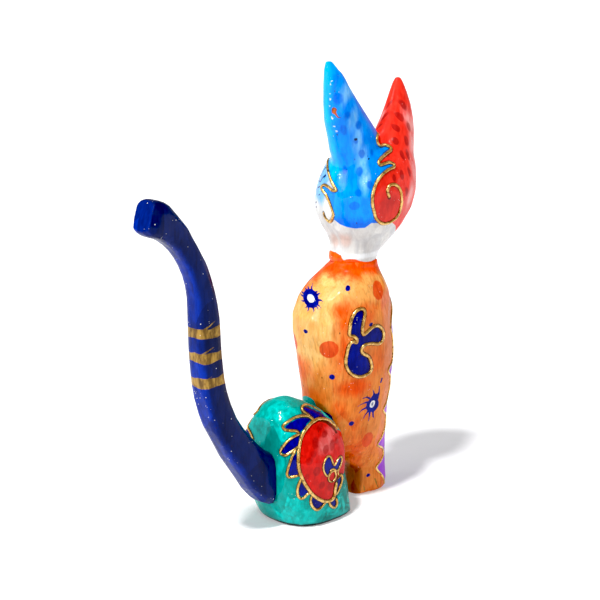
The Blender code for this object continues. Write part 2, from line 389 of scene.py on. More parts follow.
def painted(name, base, layers, roughness=0.42, coat=0.2, brush=(1.0, 1.0, 0.35), specks=0.5, metal=None,
            masks=None, patches=None, speck_rarity=0.60, grain=0.30):
    """Hand paint over gesso under varnish.

    A paint is a pair of 0-255 colours that the brush mixes. Each layer is (attribute, paint, softness
    in mm, opacity), from the lowest up; an attribute starting with 'soft_' is a sprayed weight, not a
    distance. masks gives the layers sprayed only within another one; patches, painted facet shading: a
    tone on random cells that stands in for knife facets catching the light differently.
    """
    n = Nodes(name)
    stroke = n.noise(150.0, 4.0, 0.6, stretch=brush, distortion=0.8)
    mottle = n.ramp(stroke, 0.40, 0.60, smooth=True)
    wobble = n.ramp(n.noise(620.0, 2.0), 0.25, 0.75, -0.14, 0.14)
    colour = n.mix(mottle, srgb(*base[0]), srgb(*base[1]))
    fine = n.ramp(n.noise(380.0, 3.0, 0.6, stretch=brush), 0.36, 0.64, smooth=True)
    drift = n.times(n.math("SUBTRACT", stroke, 0.5), 0.9)

    def paint(pair):
        return n.mix(fine, srgb(*pair[0]), srgb(*pair[1]))

    def spray(attribute, softness, opacity):
        weight = n.plus(n.attribute(attribute), drift)
        return n.ramp(weight, SPRAY_START, SPRAY_START + softness, 0.0, opacity, smooth=True)

    for attribute, pair, softness, opacity in layers:
        # Painted facet shading: a tone on random cells, as if knife facets caught the light differently.
        if patches and not attribute.startswith("soft_"):
            size, shade, strength = patches
            facet = n.cells(size, stretch=(1.0, 1.0, 0.55)).outputs["Color"]
            colour = n.mix(n.ramp(facet, 0.40, 0.62, 0.0, strength), colour, srgb(*shade))
            patches = None
        tone = paint(pair)
        if attribute.startswith("soft_"):
            factor = spray(attribute, softness, opacity)
        else:
            edge = n.plus(n.attribute(attribute), wobble)
            factor = n.ramp(edge, softness, -softness, 0.0, opacity, smooth=True)
        for inner, inner_pair, *feel in (masks or {}).get(attribute, ()):
            tone = n.mix(spray(inner, *feel), tone, paint(inner_pair))
        colour = n.mix(factor, colour, tone)
        if attribute == metal:
            n.set(Metallic=n.times(factor, 0.5))
    grime = n.ramp(n.noise(48.0, 5.0, 0.65), 0.40, 0.70, smooth=True)
    colour = n.mix(n.times(grime, 0.22), colour, srgb(120, 84, 60), "MULTIPLY")
    lines = n.ramp(n.noise(1000.0, 3.0, 0.6, stretch=(1.0, 1.0, 0.14)), 0.30, 0.52, grain, 0.0)
    colour = n.mix(lines, colour, srgb(110, 70, 46), "MULTIPLY")
    fleck = n.ramp(n.cells(240.0, stretch=(1.0, 1.0, 0.6)).outputs["Distance"], 0.10, 0.05, 0.0, 0.8)
    colour = n.mix(n.times(fleck, n.ramp(n.noise(90.0, 1.0), 0.54, 0.58)), colour, srgb(44, 24, 14))
    dust = n.ramp(n.cells(520.0).outputs["Distance"], 0.15, 0.07)
    rare = n.ramp(n.noise(150.0, 1.0), speck_rarity, speck_rarity + 0.04)
    colour = n.mix(n.times(n.times(dust, rare), specks), colour, srgb(240, 238, 230))
    hairs = n.noise(1200.0, 2.0, 0.6, stretch=brush)
    n.set(Base_Color=colour, Specular_IOR_Level=0.05,
          Roughness=n.ramp(n.noise(110.0, 3.0), 0.3, 0.7, roughness - 0.06, roughness + 0.10),
          Normal=n.bump(hairs, 0.18, 0.00012, n.bump(stroke, 0.35, 0.0004)),
          Coat_Weight=coat, Coat_Roughness=0.05, Coat_IOR=1.5,
          Coat_Normal=n.bump(n.noise(260.0, 4.0, 0.6), 0.55, 0.0004))
    return n.mat


def gold_paste(name):
    """Dried gold outline paste: metallic paint with darker patina in random patches."""
    n = Nodes(name)
    tone = n.ramp(n.noise(300.0, 3.0, 0.6), 0.36, 0.64, smooth=True)
    colour = n.mix(tone, srgb(184, 136, 58), srgb(228, 188, 112))
    dark = n.ramp(n.noise(700.0, 3.0), 0.54, 0.66)
    colour = n.mix(n.times(dark, 0.75), colour, srgb(74, 44, 16))
    n.set(Base_Color=colour, Metallic=0.8, Coat_Weight=0.4, Coat_Roughness=0.1,
          Roughness=n.ramp(n.noise(500.0, 2.0), 0.3, 0.7, 0.20, 0.38),
          Normal=n.bump(n.noise(1000.0, 3.0, 0.6), 0.4, 0.0002))
    return n.mat


def bare_wood(name):
    """Turned dowel wood, hidden in the joints."""
    n = Nodes(name)
    grain = n.ramp(n.noise(900.0, 4.0, 0.6, stretch=(1.0, 1.0, 0.08)), 0.3, 0.7)
    n.set(Base_Color=n.mix(grain, srgb(196, 158, 108), srgb(150, 108, 66)),
          Roughness=n.ramp(grain, 0.0, 1.0, 0.5, 0.7), Normal=n.bump(grain, 0.3, 0.0002))
    return n.mat


# ---- raised gold lines ----
class Beads:
    """Several raised lines gathered in one piece."""

    def __init__(self, name, slot, replaces=None):
        self.name, self.slot, self.replaces = name, slot, replaces
        self.bm = bmesh.new()

    def lay(self, hits, closed=False, half=BEAD_HALF, rise=BEAD_RISE, sides=12):
        """One half-round line over a run of (place, normal) in metres."""
        count = len(hits)
        if count < 3:
            return
        rings = []
        for i, (place, normal) in enumerate(hits):
            run = (at(hits, i + 1, closed)[0] - at(hits, i - 1, closed)[0]).normalized()
            side = normal.cross(run).normalized()
            swell = 1.0 + 0.16 * noise.noise(place * 330.0) + 0.08 * noise.noise(place * 900.0)
            if not closed:
                near_end = min(i, count - 1 - i)
                swell *= (0.45, 0.8, 0.95)[near_end] if near_end < 3 else 1.0
            centre = place + normal * (0.05 * MM)
            ring = []
            for k in range(sides):
                t = 2 * math.pi * k / sides
                u, v = math.cos(t) * half * swell, math.sin(t) * rise * swell
                if v < 0:
                    v *= 0.35
                ring.append(self.bm.verts.new(centre + side * (u * MM) + normal * (v * MM)))
            rings.append(ring)
        pairs = list(zip(rings, rings[1:]))
        if closed:
            pairs.append((rings[-1], rings[0]))
        for a, b in pairs:
            for k in range(sides):
                j = (k + 1) % sides
                self.bm.faces.new((a[k], a[j], b[j], b[k]))
        if not closed:
            for ring in (rings[0], rings[-1]):
                middle = self.bm.verts.new(sum((v.co for v in ring), Vector()) / sides)
                for k in range(sides):
                    self.bm.faces.new((ring[k], ring[(k + 1) % sides], middle))

    def cast(self, tree, rays, closed=False, **sizes):
        """A line where rays (start, direction) first meet a surface."""
        hits = []
        for start, direction in rays:
            place, normal, _, _ = tree.ray_cast(start, direction)
            if place is not None:
                hits.append((place, normal))
        normals = [sum((at(hits, j, closed)[1] for j in range(i - 2, i + 3)), Vector()).normalized()
                   for i in range(len(hits))]
        self.lay([(place, normal) for (place, _), normal in zip(hits, normals)], closed, **sizes)

    def on_flank(self, tree, points, side, closed=False, **sizes):
        across = Vector((-1, side, 0)).normalized()
        facing = FACING[side]
        self.cast(tree, [(FOOT + across * (u * MM) + UP * (v * MM) + facing * 0.12, -facing)
                         for u, v in spline(points, BEAD_STEP, closed)], closed, **sizes)

    def round_head(self, tree, points, closed=False, **sizes):
        """points are degrees round the head from the face, and height in mm."""
        rays = []
        for u, z in spline(on_head(points), BEAD_STEP, closed):
            angle = math.radians(u / HEAD_ARC)
            out = Vector((math.sin(angle), -math.cos(angle), 0))
            rays.append((HEAD_AXIS + UP * (z * MM) + out * 0.12, -out))
        self.cast(tree, rays, closed, **sizes)

    def round_chest(self, tree, points, side, middle, **sizes):
        """points are degrees round the torso from the middle of the chest, and height in mm."""
        rays = []
        for u, z in spline([(a * CHEST_ARC, z) for a, z in points], BEAD_STEP):
            angle = math.radians(u / CHEST_ARC)
            out = Vector((-math.cos(angle), side * math.sin(angle), 0))
            rays.append((Vector((middle(z) * MM, 0, z * MM)) + out * 0.08, -out))
        self.cast(tree, rays, **sizes)

    def done(self, material):
        bmesh.ops.recalc_face_normals(self.bm, faces=self.bm.faces)
        mesh = bpy.data.meshes.new(self.name)
        self.bm.to_mesh(mesh)
        self.bm.free()
        mesh.shade_smooth()
        mesh.materials.append(material)
        obj = add(self.name, mesh)
        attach(obj, "root")
        if self.replaces:
            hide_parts(self.replaces)
        return obj


def on_head(points):
    return [(a * HEAD_ARC, z) for a, z in points]


def groove(p, lines, half):
    """Painted shade along the foot of raised lines: distance to them less their half-width."""
    return union(*(sd_line(p, spline(line, 1.2, closed), half + 0.22) for line, closed in lines))


def settle(carving, material):
    """Dress a carved piece and let it stand for its CAD solid."""
    obj = carving.obj
    obj.data.materials.append(material)
    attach(obj, "root")
    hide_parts(carving.node)


# ---- torso ----
# Flank chart: millimetres across and up from the front foot; a dot's last numbers are its half-sizes.
FRONT_STRAY = [(6.3, 65.8), (6.8, 67.6)]
TOE_MARKS = [[(4.6, 7), (6.2, 1.6)], [(-1.5, 4.6), (-1.3, 1.8)]]
FLANK_MOTIF = [(-10.9, 96.3), (-10.8, 99.9), (-10.3, 103), (-9.2, 105.8), (-7.4, 107.9), (-5.3, 108.6),
    (-3.6, 107.9), (-3, 106), (-3.5, 103.4), (-4, 100.7), (-4.4, 97.6), (-3.8, 95.2), (-2.3, 95.5), (-0.2,
    96.9), (1.9, 97.9), (4.1, 97.5), (6, 95.6), (7.1, 92.6), (7, 89.8), (6, 88), (4, 87.7), (1, 88.9),
    (-2.2, 89.4), (-4.1, 88.5), (-4.6, 86.7), (-3.8, 84.9), (-1.6, 83.2), (-0.3, 81.4), (0.6, 78.4), (0.9,
    75.5), (0.1, 73.6), (-2, 72.6), (-4.9, 72.4), (-8.3, 73.8), (-10.7, 76.1), (-12.3, 79.1), (-12.7,
    82.4), (-12.2, 86.2), (-11.5, 89.6), (-10.2, 92), (-8.6, 92.4), (-7.3, 91.6), (-7.2, 93.4), (-8.6,
    95.2)]
BACK_SUN = dict(centre=(-30.4, 113.2), body=(4.0, 3.9), white=(1.8, 1.6))
BACK_RAYS, BACK_RAY_TIP = 14, 6.2
FLANK_SUN = [(2.8, 60.3), (5.5, 59.3), (4.9, 56.5), (5.3, 53), (3, 50.2), (0.2, 51), (-1.6, 53.4),
    (-1.1, 56.6), (0.6, 58.4)]
FLANK_RAYS = [[(2.8, 59.5), (2.3, 61.5), (2, 63.4)], [(5, 59), (5.4, 61), (5.5, 63.8)], [(0.2, 58.6),
    (-1.2, 59.9), (-3.6, 59.8)], [(-1, 56.9), (-3.4, 57), (-6, 56.1)], [(-1.4, 53.9), (-3.7, 53.4),
    (-5.4, 51.7)], [(-0.4, 51.4), (-2, 50), (-2.9, 47.9)], [(0.5, 50.9), (0.2, 48), (-0.1, 45.4)],
    [(2.2, 50.5), (2.3, 47.7), (3, 45.8)]]
FLANK_SUN_EYE = dict(centre=(1.8, 54.8), half=(1.35, 2.0), tilt=-16)
NAVY_DOTS = [(-11.7, 119.1, 1.3), (-33.1, 97.2, 1.1), (0.3, 99.3, 1), (-19.6, 73.9, 1.5),
    (-9.3, 46.6, 1.4), (0.7, 10.1, 1.1)]
RED_SPOTS = [((-21.3, 89.1), (4.9, 4.7), 8), ((4, 115), (2.6, 4.9), 14), ((-0.4, 34), (2.9, 4.6), -10)]
# Places of sprayed orange and their reach, across and up.
SPRAYS = [((-13.5, 109), (8.5, 7)), ((-4, 107), (8, 5.5)), ((-10, 102), (8.5, 7)), ((-13.5, 85), (6, 12)),
    ((-30, 60), (13, 9)), ((-9, 67), (13, 6)), ((4, 80), (6.5, 12)), ((-34, 74), (5, 11)),
    ((-10, 28), (10, 22)), ((-1, 104.5), (5, 7)), ((-18, 52), (7, 10)), ((-34, 117.5), (4.5, 3.5)),
    ((-29, 122), (5, 4))]
JOINT_PETAL = [(-26.6, 52.3), (-25.6, 53), (-23, 53.4), (-20, 52.4), (-18.9, 50.1), (-19.4, 48.6),
    (-22.5, 48.6), (-25.6, 50.6)]
JOINT_TAB = [(-34.5, 56), (-33.6, 59.2), (-31.3, 59.8), (-29.6, 59.2), (-28.3, 57.7), (-28, 54)]
# The chest panel's edge: degrees round from the middle of the chest, and height.
CHEST_EDGE = [(0, 113.5), (12, 112), (24, 107.5), (33, 101.5), (39, 97), (44, 92.5), (40, 88.5), (38,
    81.5), (42, 75), (54, 70.5), (44, 66), (40, 59.5), (45, 53), (57, 48.5), (47, 44.5), (42, 38.5), (47,
    32.5), (60, 28), (50, 24), (47, 20), (62, 16.5), (88, 13), (68, 8.5), (54, 4.5), (48, 1.8)]


def sun_rays(p, sun, count, tip):
    """Fine brush rays round an oval body."""
    centre, fields = np.array(sun["centre"]), []
    for k in range(count):
        turn = 2 * math.pi * (k + 0.25 * math.sin(k * 2.3)) / count
        out = np.array([math.cos(turn), math.sin(turn)])
        side = np.array([-out[1], out[0]])
        start = centre + out * np.array(sun["body"]) * 0.85
        end = centre + out * tip * (0.94 + 0.1 * math.sin(k * 1.9 + 1.0))
        fields.append(sd_line(p, [start, (start + end) / 2 + side * 0.35, end], 0.5, 0.12))
    return union(*fields)


def torso_middle():
    """Height to the middle of the torso along X, both in millimetres."""
    d = torso.co / MM
    heights = np.arange(2.0, 127.0, 2.0)
    middles = []
    for z in heights:
        near = np.abs(d[:, 2] - z) < 1.2
        middles.append((d[near, 0].min() + d[near, 0].max()) / 2)
    return lambda z: float(np.interp(z, heights, middles))


def paint_torso(c, middle):
    d = c.from_foot()
    size = len(d)
    navy, white, grey, red, gold_marks, teal, dark = (np.full(size, FAR) for _ in range(7))
    spray, warm = np.zeros(size), np.zeros(size)
    for side in (1, -1):
        p, seen = c.flank(side)
        # Painted shade along the foot of the flank motif's raised line.
        dark = union(dark, groove(p, [(FLANK_MOTIF, True)], BEAD_HALF) + np.where(seen, 0.0, FAR))
        seen &= (side == 1) | (d[:, 1] < -3.0)
        off = np.where(seen, 0.0, FAR)
        marks = [sd_shape(p, spline(FLANK_MOTIF, 1.2, True)), sd_shape(p, spline(FLANK_SUN, 1.0, True)),
                 sd_line(p, FRONT_STRAY, 0.5), sd_shape(p, JOINT_PETAL)]
        marks += [sd_line(p, ray, 0.55, 0.16) for ray in FLANK_RAYS]
        marks += [sd_oval(p, (u, v), (r, r)) for u, v, r in NAVY_DOTS if side == 1 or u > -25]
        whites = [sd_oval(p, **FLANK_SUN_EYE)]
        if side == 1:
            steep = np.where(c.no @ np.array(FACING[1]) > 0.15, 0.0, FAR)
            marks += [sd_oval(p, BACK_SUN["centre"], BACK_SUN["body"]) + steep,
                      sun_rays(p, BACK_SUN, BACK_RAYS, BACK_RAY_TIP) + steep]
            whites.append(sd_oval(p, BACK_SUN["centre"], BACK_SUN["white"]))
        navy = union(navy, union(*marks) + off)
        white = union(white, union(*whites) + off)
        grey = union(grey, sd_oval(p, FLANK_SUN_EYE["centre"], (0.62, 1.0), FLANK_SUN_EYE["tilt"]) + off)
        red = union(red, union(*(sd_oval(p, *spot) for spot in RED_SPOTS)) + off)
        gold_marks = union(gold_marks, union(*(sd_line(p, mark, 0.43, 0.3) for mark in TOE_MARKS)) + off)
        teal = union(teal, sd_shape(p, spline(JOINT_TAB, 1.0, True)) + off)
        # The pale back gives way to a warmer flank along a slanting line.
        pale_until = np.interp(p[:, 1], [56, 70, 86, 104, 112], [-44, -37, -27, -23, -10])
        warmth = between(p[:, 0], pale_until, pale_until + 9) * between(p[:, 1], 116, 108)
        warm = np.maximum(warm, np.where(seen, warmth, 0))
        spray = np.maximum(spray, np.where(seen, np.maximum.reduce([blob(p, *s) for s in SPRAYS]), 0))
    centre = np.interp(c.co[:, 2] / MM, np.arange(0, 130), [middle(z) for z in range(130)])
    turn = np.degrees(np.arctan2(np.abs(c.co[:, 1]) / MM, -(c.co[:, 0] / MM - centre)))
    chest = np.stack([turn * CHEST_ARC, d[:, 2]], 1)
    edge = [(a * CHEST_ARC, z) for a, z in CHEST_EDGE]
    panel = sd_shape(chest, [(-2.0, edge[0][1])] + list(spline(edge, 1.0)) + [(16.0, -2.0), (-2.0, -2.0)])
    x, z = d[:, 0], d[:, 2]
    c.note(
        groove=dark, navy=navy, white=white, grey=grey, red=red, gold=gold_marks, teal=teal, purple=panel,
        soft_spray=spray, soft_warm=warm, soft_low=between(z, 74, 14),
        soft_collar=between(z, NECK_Z - 10, NECK_Z - 2),
        soft_strip=between(turn, 70, 62) * between(z, 118, 110),
        soft_lit=between(x, 14, 34) * between(z, 46, 72),
        # Painted shade on the back of the legs, where the haunch shades them.
        soft_groin=between(x, 1, 4) * between(z, 22, 16) * between(c.no[:, 0], 0.2, 0.7))


LEG_TOP, LEG_REACH = 42.0, 5.2      # below this height the closed legs reach this far back
RIM_LIFT, RIM_FLARE = 1.3, 0.45     # the torso's rim stands up and out over the neck joint


def shape_torso(c):
    """Close the gap behind the legs and cover the glue line at the neck."""
    height = c.co[:, 2] / MM
    out = c.co - np.array(HEAD_AXIS)
    out[:, 2] = 0
    out /= np.maximum(np.linalg.norm(out, axis=1), 1 * MM)[:, None]
    behind = between(height, LEG_TOP, LEG_TOP - 9) * between(c.no[:, 0], 0.35, 0.65)
    c.co[:, 0] += behind * LEG_REACH * MM
    rim = between(height, NECK_Z - 2.2, NECK_Z - 0.2)[:, None]
    c.co += rim * (out * RIM_FLARE + np.array(UP) * RIM_LIFT) * MM
    c.write()


torso = Carving("torso")
shape_torso(torso)
torso.facets(110, 0.55, 20, 3)
torso.uneven()
middle_of_torso = torso_middle()
paint_torso(torso, middle_of_torso)
settle(torso, painted(
    "torso_paint", ((240, 170, 92), (226, 138, 62)),
    [("soft_lit", ((240, 198, 126), (236, 178, 98)), 0.8, 0.8),
     ("soft_low", ((236, 128, 52), (224, 108, 44)), 0.9, 0.8),
     ("soft_warm", ((232, 130, 52), (218, 104, 36)), 0.9, 0.85),
     ("soft_spray", ((236, 84, 10), (220, 68, 8)), 0.85, 0.95),
     ("soft_strip", ((236, 136, 104), (228, 116, 76)), 0.7, 0.75),
     ("soft_collar", ((250, 84, 14), (238, 66, 10)), 0.6, 0.95),
     # Painted shade behind the legs.
     ("soft_groin", ((140, 52, 12), (112, 38, 8)), 0.6, 0.65),
     ("red", ((226, 78, 28), (212, 60, 20)), 0.25, 0.9),
     ("teal", ((0, 176, 168), (6, 150, 144)), 0.16, 1.0),
     ("purple", ((190, 100, 230), (156, 74, 206)), 0.16, 1.0),
     ("gold", ((176, 132, 58), (150, 108, 44)), 0.12, 1.0),
     ("navy", ((8, 16, 110), (12, 26, 140)), 0.12, 1.0),
     # Painted shade beside the raised gold lines.
     ("groove", ((66, 36, 16), (40, 22, 14)), 0.2, 0.85),
     ("white", ((244, 242, 236), (226, 228, 232)), 0.12, 1.0),
     ("grey", ((150, 156, 170), (120, 130, 160)), 0.15, 1.0)],
    patches=(70.0, (232, 148, 72), 0.35)))

# ---- haunch ----
# The flank chart again: the raised ring, the red's front end, and the torso's orange above them.
RING = [(-16.9, 46.6), (-18.3, 48.8), (-20.6, 51.4), (-23.2, 53.6), (-26.3, 55), (-28.9, 55), (-31.4, 54),
    (-33.4, 52.5), (-34.9, 50.3), (-35.9, 47.2), (-36.5, 44.1), (-36.8, 40.2), (-36.7, 36.7), (-36, 32.9),
    (-34.9, 29.5), (-33.4, 25.9), (-31.4, 22.2), (-29.2, 18.9), (-26.4, 15.9), (-23.8, 13.9), (-21.2, 13),
    (-19.2, 13.5), (-18.3, 15.6), (-17.9, 18.9), (-17.4, 22)]
RED_FRONT = [(-16.4, 24.4), (-13, 24.8), (-9.5, 28), (-8, 35.4), (-9, 41), (-12.4, 45.4)]
LAP = [(-27, 59.6), (-24.2, 57), (-21.6, 54), (-19, 51.4), (-16.9, 48.2), (-13, 46.4), (-5, 46), (-5, 66),
    (-24, 66)]
# Each petal: its navy fill, then the raised line round its free edge.
PETALS = [
    ([(-34.2, 61.6), (-31.9, 60.9), (-28.8, 59), (-25.8, 57), (-22.4, 53.6), (-20, 50.6), (-22.7, 53),
      (-25.8, 55.4), (-28.9, 55.8), (-30.4, 57.4), (-32.4, 59.1), (-34.2, 60.6)],
     [(-28.9, 55.4), (-31.9, 58.3), (-34.4, 60.2), (-35, 61.6), (-33.9, 62.1), (-30.9, 60.7), (-27.3,
      58.5), (-24.2, 55.8), (-21.6, 52.9)]),
    ([(-43.4, 55.6), (-40.9, 57.2), (-37.9, 58), (-34.9, 58), (-31.9, 57.2), (-30.4, 56), (-32.4,
      54.8), (-34.4, 52.9), (-35.9, 51.8), (-37.9, 53.4), (-40.9, 54.2), (-42.9, 54.6)],
     [(-29.4, 55.5), (-31.4, 57.5), (-34.4, 58.5), (-37.9, 58.8), (-40.9, 58), (-43.4, 56.7), (-44.5,
      55.4), (-43.4, 54.1), (-40.9, 53.6), (-37.9, 52.9), (-36.2, 51.6)]),
    ([(-36.2, 51), (-39.9, 49.7), (-42.9, 47.5), (-44.4, 45.2), (-45.2, 42.8), (-43.4, 42.6), (-40.9,
      43.9), (-38.4, 45.2), (-36.6, 46.2)],
     [(-36.2, 51.2), (-39.4, 50.3), (-42.4, 48.4), (-44.4, 46), (-45.7, 43.1), (-45.2, 41.6), (-43.4,
      41.8), (-40.9, 43.1), (-38.4, 44.6), (-36.8, 45.4)]),
    ([(-38.5, 43.6), (-37.2, 40.3), (-37, 36.7), (-36.2, 33.5), (-35.9, 31.4), (-38.4, 31.4), (-40.9,
      31.3), (-41.9, 32.6), (-40.9, 36.5), (-39.9, 40.5)],
     [(-37.8, 44.4), (-39.7, 41.5), (-40.8, 38.5), (-41.9, 34.9), (-42.4, 31.8), (-41.4, 30.4), (-39.4,
      30.6), (-36.6, 31.2)]),
    ([(-35.6, 27.6), (-34.2, 25.5), (-32.5, 22.8), (-31.2, 21.2), (-33.4, 20.3), (-34.7, 19.2), (-35.9,
      19.6), (-36.4, 22.9)],
     [(-35.3, 29.2), (-36.7, 25.7), (-37.2, 22.4), (-36.8, 19.6), (-35.4, 18), (-33.9, 18.5), (-32.4,
      20.1), (-30.6, 20.9)]),
    ([(-29.6, 18.4), (-27, 15.2), (-23.6, 13.2), (-25, 11.8), (-26.8, 10.7), (-28.1, 11), (-29.9,
      13.9)],
     [(-30, 19), (-30.6, 15.8), (-29.9, 13.1), (-28.3, 10.7), (-26.8, 10), (-25, 11), (-22.8, 13.2)]),
    ([(-21, 12.3), (-19.4, 13.2), (-17.8, 13), (-17.2, 10.1), (-18, 8.6), (-19.9, 10.2)],
     [(-21.2, 12.8), (-20.4, 10.2), (-18.2, 8), (-17, 10.1), (-17.6, 13.4)]),
    ([(-15.8, 24.6), (-14.7, 23.2), (-15.2, 20.3), (-16.2, 17.5), (-17.5, 15.9), (-17.3, 20.2), (-16.5,
      23.1)],
     [(-16.6, 23.7), (-15.2, 24.9), (-14.4, 23.1), (-14.9, 20.1), (-16.2, 17.3), (-17.5, 15)]),
]
PETAL_HALF, SPRIG_HALF = 0.62, 0.48       # half-widths of the finer raised lines
THIGH_DOTS = [(-28.2, 45.4, 1.7, 2.8), (-23.4, 48, 1.4, 1.6), (-22.8, 40.8, 1.6, 2.2),
    (-19.6, 41.6, 1.4, 2.6), (-29.2, 40.6, 1.5, 1.8), (-31.2, 37.6, 1.8, 1.8), (-27.4, 31.5, 1.9, 2.4),
    (-32.4, 29.8, 1.4, 1.6), (-20.8, 20.6, 1.2, 2.2), (-24.8, 23.2, 1.5, 2), (-25.8, 51.6, 1.6, 1.4),
    (-17.4, 42.8, 1, 1.8)]
THIGH_SPRIG = [(-22.5, 27.4), (-23.9, 30.4), (-24.2, 33.1), (-23.4, 35.6), (-22.3, 37.1), (-20.9, 37),
    (-20, 35.3), (-19.2, 32.8), (-18.4, 31.4), (-17.5, 32.4), (-16.6, 34), (-15.3, 34.7), (-14.6, 33),
    (-15, 30.9), (-16, 28.7), (-17.6, 28.2), (-19, 29.8), (-20.4, 29.4), (-21.2, 27.5)]
THIGH_STEM = [(-16, 28.9), (-16.7, 27.1), (-16.4, 25.6), (-15.6, 24.4)]
THIGH_LOOP = [(-18.6, 28.7), (-20.1, 28.4), (-21.2, 27.1), (-21.5, 25.2), (-20.6, 23.6), (-19.2, 23.1),
    (-18, 24.6), (-17.8, 26.8)]


def spread(points, side):
    """The far side's petals stand a little further out and peep over the back."""
    if side == 1:
        return points
    middle = (-27.0, 34.0)
    return [(u + 0.10 * (u - middle[0]), z + 0.13 * (z - middle[1])) for u, z in points]


def paint_haunch(c):
    d = c.from_foot()
    size = len(d)
    red, navy, dots, loop, lap, dark = (np.full(size, FAR) for _ in range(6))
    pink = np.zeros(size)
    x, z = d[:, 0], d[:, 2]
    for side in (1, -1):
        p, seen = c.flank(side)
        own = np.where(seen & (side * d[:, 1] > -1.0), 0.0, FAR)
        fills = [sd_shape(p, spread(fill, side)) for fill, _ in PETALS]
        fills.append(sd_shape(p, spline(THIGH_SPRIG, 0.8, True)))
        lap = union(lap, sd_shape(p, LAP) + own)
        disc = sd_shape(p, spline(RING + RED_FRONT, 1.2, True))
        # Round the corner towards the legs the red ends in an arc.
        depth = (x + side * d[:, 1]) / math.sqrt(2)
        level = np.abs(c.no @ np.array(FACING[side])) < 0.12
        corner = depth[level & (own == 0) & (p[:, 0] > -17.0) & (np.abs(z - 35.0) < 8.0)]
        turn = np.percentile(corner, 85)
        arc = sd_oval(np.stack([depth, z], 1), (turn, 34.8), (7.0, 11.5))
        past_edge = np.where((depth < turn) & (p[:, 0] > -18.0), arc, -FAR)
        red = union(red, np.maximum(disc, past_edge) + own)
        navy = union(navy, union(*fills) + own)
        dots = union(dots, ovals(p, THIGH_DOTS) + own)
        loop = union(loop, sd_shape(p, spline(THIGH_LOOP, 0.6, True)) + own)
        haze = np.maximum(blob(p, (-22.6, 43.5), (5.2, 6.0)), 0.75 * blob(p, (-20.0, 47.0), (6.0, 5.0)))
        pink = np.maximum(pink, np.where(own == 0, haze, 0))
        # Painted shade along the foot of the raised lines.
        seats = union(groove(p, [(RING, False)], BEAD_HALF),
                      groove(p, [(spread(line, side), False) for _, line in PETALS], PETAL_HALF),
                      groove(p, [(THIGH_SPRIG, True), (THIGH_LOOP, True)], SPRIG_HALF - 0.06))
        dark = union(dark, seats + np.where(c.no @ np.array(FACING[side]) > 0.2, own, FAR))
    # The torso's orange laps onto the haunch's upper front.
    lap = union(lap, np.maximum(x - x.min() - 3.6, 50.0 - z))
    c.note(red=red, navy=navy, dots=dots, loop=loop, lap=lap, groove=dark, soft_pink=pink,
           black=z - 1.7, soft_shade=between(z, 10, 0), soft_lit=between(x, 50, 64))


# How far across the haunch's front corner may reach, by height.
CORNER = [(0, -9.8), (8, -10.6), (16, -12.4), (23, -13.8), (30, -12.9), (38, -13.6), (44, -15), (50, -9)]


def trim_corner(c):
    """Cut back the haunch's front corners, where its sides turn in towards the legs."""
    d = c.from_foot()
    limit = np.interp(d[:, 2], *zip(*CORNER))
    for side in (1, -1):
        s = (-d[:, 0] + side * d[:, 1]) / math.sqrt(2)
        over = np.maximum(s - limit, 0) * (side * d[:, 1] > 4.0) * 0.92 * MM
        c.co += np.outer(over, np.array([1.0, -side, 0.0]) / math.sqrt(2))
    c.write()


haunch = Carving("haunch")
trim_corner(haunch)
haunch.facets(80, 0.62, 15, 5)
haunch.uneven()
paint_haunch(haunch)
settle(haunch, painted(
    "haunch_paint", ((0, 190, 180), (6, 116, 104)),
    [("soft_lit", ((4, 218, 210), (0, 172, 162)), 0.9, 0.7),
     ("soft_shade", ((0, 96, 98), (0, 136, 132)), 0.9, 0.7),
     ("lap", ((238, 112, 40), (224, 88, 24)), 0.2, 1.0),
     ("red", ((216, 34, 28), (194, 28, 24)), 0.16, 1.0),
     ("soft_pink", ((230, 120, 118), (222, 92, 90)), 0.8, 0.9),
     ("dots", ((168, 30, 28), (150, 22, 22)), 0.35, 0.7),
     ("navy", ((8, 14, 116), (10, 24, 150)), 0.12, 1.0),
     ("loop", ((214, 36, 30), (198, 28, 26)), 0.13, 1.0),
     # Painted shade beside the raised gold lines.
     ("groove", ((66, 36, 16), (36, 24, 18)), 0.2, 0.85),
     ("black", ((16, 18, 20), (24, 28, 30)), 0.4, 0.95)], brush=(1.0, 1.0, 0.6), coat=0.35, grain=0.12,
    patches=(105.0, (4, 122, 112), 0.6)))

# ---- head ----
# Degrees round the head from the face (90 is the blue side, 180 the nape), and height.
JAG = [(169, 194.4), (157, 192.4), (158, 189.8), (168, 188.3), (182, 188.4), (188, 187.4), (186, 186),
    (171, 184.6), (157, 182.9), (151, 181.2), (153, 180), (160, 180.3), (170, 180.7), (178, 179.6), (176,
    178.3), (166, 177.5), (157, 176.1), (150, 174.2), (145, 171.7), (142, 168.8), (140, 165.4), (140,
    161.3), (142, 157.6), (145, 153.7), (152, 150.9), (161, 149.9), (172, 150.4), (181, 152.5), (185,
    155.4), (186, 159.6), (184, 163.4), (182, 166.6), (177, 168.9), (170, 170), (163, 169.6), (160,
    167.7), (161, 165.7), (163, 163.5)]
JAG_EDGE = 27              # how many of these points part the blue from the red
CHEEK = [(70, 178.9), (76, 177.3), (83, 174.8), (89, 172.2), (95, 169.6), (99, 167.6), (93, 167.3), (87,
    168.6), (79, 169.1), (74, 167.7), (77, 166.4), (83, 164.4), (89, 161.1), (93, 157.7), (95, 154.7),
    (90, 151.4), (85, 150.4), (81, 152), (79, 154.9)]
CHEEK_EDGE = 15            # how many of these bound the blue
BROW = [(0, 169), (7, 173.4), (17, 176.8), (30, 178.8), (44, 179.8), (58, 180.2)]
BLUE_LOW = [(94, 152.5), (101, 150.2), (110, 148.9), (119, 148.3), (132, 148.8), (140, 151.1)]
RED_LOW = [(173, 150.1), (190, 146.8), (200, 142.9), (207, 146.8), (220, 149), (235, 148.6), (250, 148.9),
    (260, 150.2)]
